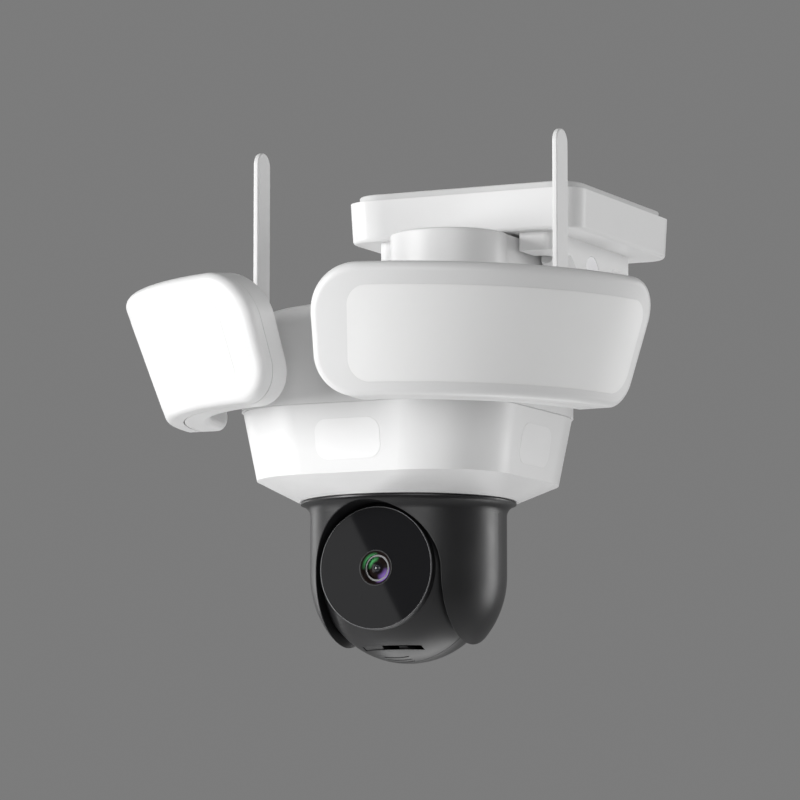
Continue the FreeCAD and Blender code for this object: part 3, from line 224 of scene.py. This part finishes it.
def black_shell():
    """Satin black, fine grained."""
    return moulded("black_shell", (0.013, 0.013, 0.014), 0.36, 0.000010, 0.15).material


def black_gloss():
    """Polished black window round the lens, its gloss almost even."""
    shader = moulded("black_gloss", (0.006, 0.006, 0.007), 0.02, 0.0000001, 0.1, 900.0)
    shader.set(Specular_IOR_Level=0.36)
    return shader.material


def black_inner():
    return moulded("black_inner", (0.020, 0.020, 0.021), 0.55, 0.00002, 0.2, 2200.0).material


def brushed(name, colour, roughness, stretch):
    """Metal with fine lines along one direction."""
    shader = Shader(name)
    lines = shader.noise(900.0, 4.0, stretch)
    shader.set(Metallic=1.0)
    tone = shader.mixed(lines, shaded(colour, 0.86), colour)
    shader.link(tone, shader.surface.inputs["Base Color"])
    gloss = shader.between(lines, roughness - 0.06, roughness + 0.08)
    shader.link(gloss, shader.surface.inputs["Roughness"])
    shader.bump(lines, 0.00001)
    return shader.material


def steel():
    return brushed("steel", (0.58, 0.58, 0.59), 0.34, (1.0, 1.0, 14.0))


def bright_trim():
    return brushed("bright_trim", (0.13, 0.13, 0.133), 0.42, (6.0, 1.0, 6.0))


def motor():
    return brushed("motor", (0.60, 0.60, 0.60), 0.30, (1.0, 1.0, 10.0))


def gear_plastic():
    return moulded("gear_plastic", (0.80, 0.78, 0.72), 0.45, 0.00001).material


def board():
    """Green circuit board: solder mask, paler where it covers the copper runs."""
    shader = Shader("board")
    runs = shader.add("ShaderNodeTexBrick")
    runs.inputs["Scale"].default_value = 160.0
    runs.inputs["Color1"].default_value = (0.012, 0.085, 0.035, 1.0)
    runs.inputs["Color2"].default_value = (0.015, 0.100, 0.042, 1.0)
    runs.inputs["Mortar"].default_value = (0.030, 0.160, 0.070, 1.0)
    shader.link(shader.coordinates.outputs["Object"], runs.inputs["Vector"])
    shader.link(runs.outputs["Color"], shader.surface.inputs["Base Color"])
    shader.link(shader.between(shader.noise(120.0), 0.28, 0.40), shader.surface.inputs["Roughness"])
    shader.bump(runs.outputs["Fac"], 0.00003)
    return shader.material


def lamp_board():
    return moulded("lamp_board", (0.80, 0.80, 0.80), 0.35, 0.000008).material


def lamp():
    return moulded("lamp", (0.85, 0.72, 0.25), 0.30, 0.00001, 0.1).material


def radial(shader):
    """Distance from the lens axis, and how far a place leans towards the painted green reflection, from -1
    to 1.
    """
    split = shader.add("ShaderNodeSeparateXYZ")
    shader.link(shader.coordinates.outputs["Object"], split.inputs[0])
    flat = shader.add("ShaderNodeCombineXYZ")
    shader.link(shader.math("SUBTRACT", split.outputs["X"], LENS_CENTRE.x), flat.inputs["X"])
    shader.link(shader.math("SUBTRACT", split.outputs["Z"], LENS_CENTRE.z), flat.inputs["Z"])
    length = shader.add("ShaderNodeVectorMath", operation="LENGTH")
    shader.link(flat.outputs[0], length.inputs[0])
    unit = shader.add("ShaderNodeVectorMath", operation="NORMALIZE")
    shader.link(flat.outputs[0], unit.inputs[0])
    side = shader.add("ShaderNodeVectorMath", operation="DOT_PRODUCT")
    side.inputs[1].default_value = (math.cos(PAINTED_REFLECTION_ANGLE), 0.0, math.sin(PAINTED_REFLECTION_ANGLE))
    shader.link(unit.outputs[0], side.inputs[0])
    return length.outputs["Value"], side.outputs["Value"]


def lens_painted_reflections():
    """Near-black glass with painted reflections: a green crescent at the upper left and a violet one at the
    lower right, painted into the base colour.
    """
    shader = Shader("lens_painted_reflections")
    distance, side = radial(shader)
    ring = shader.between(distance, 0.0, 1.0, 2.6 * MM, 5.2 * MM)
    fade = shader.between(distance, 1.0, 0.0, 5.9 * MM, 7.0 * MM)
    band = shader.math("MULTIPLY", ring, fade)
    # Painted reflections: the green and violet crescents are light painted into the glass's base colour.
    green = shader.math("MULTIPLY", band, shader.between(side, 0.0, 1.0, 0.62, 1.0))
    violet = shader.math("MULTIPLY", band, shader.between(side, 0.0, 1.0, -0.66, -1.0))
    outward = shader.between(distance, 0.0, 1.0, 0.8 * MM, 3.0 * MM)
    glass = shader.mixed(outward, (0.002, 0.003, 0.008), (0.012, 0.008, 0.007))
    greened = shader.mixed_over(glass, green, (0.130, 0.620, 0.210))
    painted_reflection_colour = shader.mixed_over(greened, violet, (0.420, 0.240, 0.800))
    shader.link(painted_reflection_colour, shader.surface.inputs["Base Color"])
    shader.link(shader.between(shader.noise(300.0), 0.10, 0.16), shader.surface.inputs["Roughness"])
    shader.set(Specular_IOR_Level=0.05)
    return shader.material


def pupil_glass():
    """Dark polished glass of the small centre dome, which holds the small highlights."""
    shader = moulded("pupil_glass", (0.004, 0.005, 0.010), 0.08, 0.0000005, 0.1, 900.0)
    shader.set(Specular_IOR_Level=0.7)
    return shader.material


FINISHES = {
    "white_shell": white_shell, "antenna_white": antenna_white, "window_white": window_white,
    "diffuser": diffuser, "rubber": rubber, "steel": steel, "grey_cast": grey_cast,
    "black_shell": black_shell, "black_gloss": black_gloss, "bright_trim": bright_trim,
    "black_inner": black_inner, "lens": lens_painted_reflections, "motor": motor, "gear_plastic": gear_plastic,
    "board": board, "lamp_board": lamp_board, "lamp": lamp,
}


def finish_nodes(materials):
    """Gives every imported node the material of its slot."""
    for part in frame["record"]["subparts"]:
        node = frame["nodes"][part["node"]]
        node.data.materials.clear()
        node.data.materials.append(materials[part["material_slot"]])


# ---- added pieces ----------------------------------------------------------------------------------
def lathe(name, outline, material, body):
    """A closed ring turned about the lens axis from (radius, depth behind the glass face) corners."""
    mesh = bmesh.new()
    loops = []
    for step in range(RIM_STEPS):
        angle = 2 * math.pi * step / RIM_STEPS
        loop = []
        for radius, depth in outline:
            x = LENS_CENTRE.x + radius * math.cos(angle)
            z = LENS_CENTRE.z + radius * math.sin(angle)
            loop.append(mesh.verts.new((x, GLASS_FACE + depth, z)))
        loops.append(loop)
    count = len(outline)
    for step, loop in enumerate(loops):
        following = loops[(step + 1) % RIM_STEPS]
        for corner in range(count):
            after = (corner + 1) % count
            mesh.faces.new((loop[corner], loop[after], following[after], following[corner]))
    bmesh.ops.recalc_face_normals(mesh, faces=mesh.faces)
    data = bpy.data.meshes.new(name)
    mesh.to_mesh(data)
    mesh.free()
    data.shade_smooth()
    piece = bpy.data.objects.new(name, data)
    bpy.context.scene.collection.objects.link(piece)
    piece.data.materials.append(material)
    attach(piece, body)


def lens_details(materials):
    """Baffle steps down the barrel's mouth, a fine ring on its rim and a small dome at the centre.

    The dome stands for the elements further in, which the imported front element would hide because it
    is opaque here. It sits just ahead of that one.
    """
    # (radius, depth) in millimetres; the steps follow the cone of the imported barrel
    steps = [
        (7.42, -0.04), (7.12, -0.04), (7.12, 0.22), (6.62, 0.22), (6.62, 0.72),
        (6.12, 0.72), (6.12, 1.22), (6.00, 1.22), (6.00, 1.36),
    ]
    outline = [(radius * MM, depth * MM) for radius, depth in steps]
    # The baffles take the lens material, so its painted reflection crescents reach onto them.
    lathe("lens_baffles", outline, materials["lens"], "ball")
    rim = [
        (RIM_OUTER, RIM_BACK), (RIM_OUTER, RIM_FRONT), (RIM_INNER, RIM_FRONT), (RIM_INNER, RIM_BACK),
    ]
    lathe("lens_rim_ring", rim, materials["black_shell"], "ball")
    dome = []
    for step in range(PUPIL_STEPS + 1):
        angle = PUPIL_FIRST + PUPIL_SWEEP * step / PUPIL_STEPS
        dome.append((PUPIL_CURVE * math.sin(angle), PUPIL_APEX + PUPIL_CURVE * (1 - math.cos(angle))))
    dome.append((dome[-1][0], PUPIL_APEX + PUPIL_DEPTH))
    dome.append((dome[0][0], PUPIL_APEX + PUPIL_DEPTH))
    lathe("lens_pupil", dome, materials["pupil_glass"], "ball")


# ---- studio ----------------------------------------------------------------------------------------
def pale_floor():
    """A wide pale floor far below the hanging camera."""
    mesh = bmesh.new()
    corners = ((-FLOOR_HALF, -FLOOR_HALF), (FLOOR_HALF, -FLOOR_HALF), (FLOOR_HALF, FLOOR_HALF),
               (-FLOOR_HALF, FLOOR_HALF))
    mesh.faces.new([mesh.verts.new((x, y, FLOOR_Z)) for x, y in corners])
    data = bpy.data.meshes.new("floor")
    mesh.to_mesh(data)
    mesh.free()
    floor = bpy.data.objects.new("floor", data)
    bpy.context.scene.collection.objects.link(floor)
    floor.data.materials.append(moulded("floor", (0.82, 0.82, 0.82), 0.8, 0.0002, 0.02, 200.0).material)


def pale_world():
    """Even light from all round."""
    world = bpy.data.worlds.new("studio")
    world.use_nodes = True
    background = world.node_tree.nodes["Background"]
    background.inputs["Color"].default_value = (1.0, 1.0, 1.0, 1.0)
    background.inputs["Strength"].default_value = WORLD_LEVEL
    bpy.context.scene.world = world


def area_light(name, width, height, power):
    """A rectangular light with no place of its own yet."""
    data = bpy.data.lights.new(name, "AREA")
    data.shape = "RECTANGLE"
    data.size = width
    data.size_y = height
    data.energy = power
    light = bpy.data.objects.new(name, data)
    light.rotation_mode = "QUATERNION"
    bpy.context.scene.collection.objects.link(light)
    return light


def softbox(name, azimuth, elevation, distance, width, height, power):
    """An area light facing the subject; azimuth 0 is in front and positive towards +X."""
    across, up = math.radians(azimuth), math.radians(elevation)
    away = Vector((math.sin(across) * math.cos(up), -math.cos(across) * math.cos(up), math.sin(up)))
    light = area_light(name, width, height, power)
    light.location = SUBJECT + away * distance
    light.rotation_quaternion = (-away).to_track_quat("-Z", "Y")


def card_light():
    """A weak light whose leaning edge is seen in the black glass, across the lens.

    It stands where the glass mirrors the viewpoint: the viewpoint's image behind the glass face and
    the lens centre give the line it lies on.
    """
    face_centre = Vector((LENS_CENTRE.x, GLASS_FACE, LENS_CENTRE.z))
    image = Vector((EYE.x, 2 * GLASS_FACE - EYE.y, EYE.z))
    away = (face_centre - image).normalized()
    across = Vector((-away.y, away.x, 0.0)).normalized()
    upwards = away.cross(across)
    lit_side = -across * math.cos(CARD_LEAN) - upwards * math.sin(CARD_LEAN)
    along_edge = away.cross(lit_side)
    card = area_light("card", CARD_SIZE, CARD_SIZE, CARD_POWER)
    card.location = face_centre + away * CARD_DISTANCE + lit_side * (CARD_SIZE / 2)
    card.rotation_quaternion = Matrix((lit_side, along_edge, away)).transposed().to_quaternion()


def studio():
    """Floor, surroundings and lights."""
    pale_world()
    pale_floor()
    # azimuth and elevation in degrees, distance, width and height in metres, power in watts
    softbox("key", -45, 3, 2.4, 1.1, 1.5, 49.0)
    softbox("front_fill", 34, 4, 3.0, 2.0, 2.0, 25.0)
    softbox("under", 195, -56, 1.6, 1.2, 1.0, 8.0)
    softbox("rim_right", 138, 3, 2.4, 0.7, 1.8, 20.0)
    softbox("rim_left", -115, 0, 2.4, 0.7, 1.8, 8.0)
    softbox("edge_strip", -77, -14, 2.4, 0.4, 1.8, 7.0)
    card_light()


def viewpoint():
    """The camera of the main picture."""
    data = bpy.data.cameras.new("viewpoint")
    data.lens = FOCAL_LENGTH
    data.sensor_width = SENSOR_WIDTH
    data.clip_start = 0.05
    data.clip_end = 100.0
    camera = bpy.data.objects.new("viewpoint", data)
    camera.location = EYE
    camera.rotation_euler = (math.radians(90 + EYE_PITCH), 0.0, math.radians(EYE_YAW))
    bpy.context.scene.collection.objects.link(camera)
    bpy.context.scene.camera = camera


materials = {slot: make() for slot, make in FINISHES.items()}
materials["pupil_glass"] = pupil_glass()
finish_nodes(materials)
lens_details(materials)
studio()
viewpoint()
bpy.context.scene.view_settings.view_transform = "Standard"
